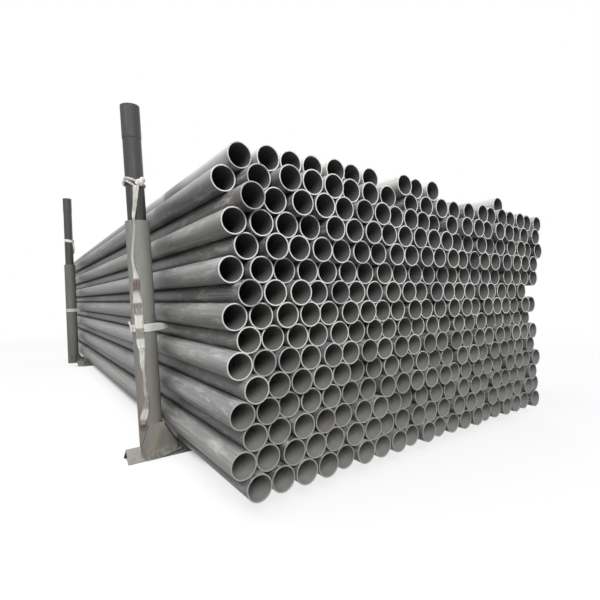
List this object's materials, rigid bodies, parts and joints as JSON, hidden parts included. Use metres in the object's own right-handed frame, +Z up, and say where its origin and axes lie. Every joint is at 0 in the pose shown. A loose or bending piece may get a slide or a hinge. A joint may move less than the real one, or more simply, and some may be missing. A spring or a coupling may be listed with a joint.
{
  "type": "stack of steel tubes",
  "caption": "Stack of long round steel tubes packed in staggered rows between the leaning pipe stakes of a low rack, tied with strips.",
  "frame": {"origin": "on the floor, under the middle of the whole", "axes": "+X across the stack to the right as seen from the viewed tube mouths, +Y along the tubes away from those mouths, +Z up"},
  "size_m": [2.9138, 6.2404, 2.2499],
  "materials": {
    "black_steel_tube": "bare mill-finished steel, dull grey, bright cut ends",
    "rack_sleeve": "worn grey-brown paint",
    "rack_stake": "worn dark grey paint",
    "rack_angle": "worn paint with weld beads and rust spots",
    "tie_strip": "dirty off-white woven strip"
  },
  "bodies": {
    "root": {"tube_row_01": "black_steel_tube", "tube_row_02": "black_steel_tube", "tube_row_03": "black_steel_tube", "tube_row_04": "black_steel_tube", "tube_row_05": "black_steel_tube", "tube_row_06": "black_steel_tube", "tube_row_07": "black_steel_tube", "tube_row_08": "black_steel_tube", "tube_row_09": "black_steel_tube", "tube_row_10": "black_steel_tube", "tube_row_11": "black_steel_tube", "tube_row_12": "black_steel_tube", "tube_row_13": "black_steel_tube", "tube_row_14": "black_steel_tube", "tube_row_15": "black_steel_tube", "near_base_angle": "rack_angle", "near_left_sleeve": "rack_sleeve", "near_left_stake": "rack_stake", "near_left_gusset": "rack_angle", "near_right_sleeve": "rack_sleeve", "near_right_stake": "rack_stake", "near_right_gusset": "rack_angle", "far_base_angle": "rack_angle", "far_left_sleeve": "rack_sleeve", "far_left_stake": "rack_stake", "far_left_gusset": "rack_angle", "far_right_sleeve": "rack_sleeve", "far_right_stake": "rack_stake", "far_right_gusset": "rack_angle", "near_hanging_strip": "tie_strip", "near_cross_tie": "tie_strip", "far_stake_tie": "tie_strip", "far_cross_tie": "tie_strip"}
  },
  "joints": []
}
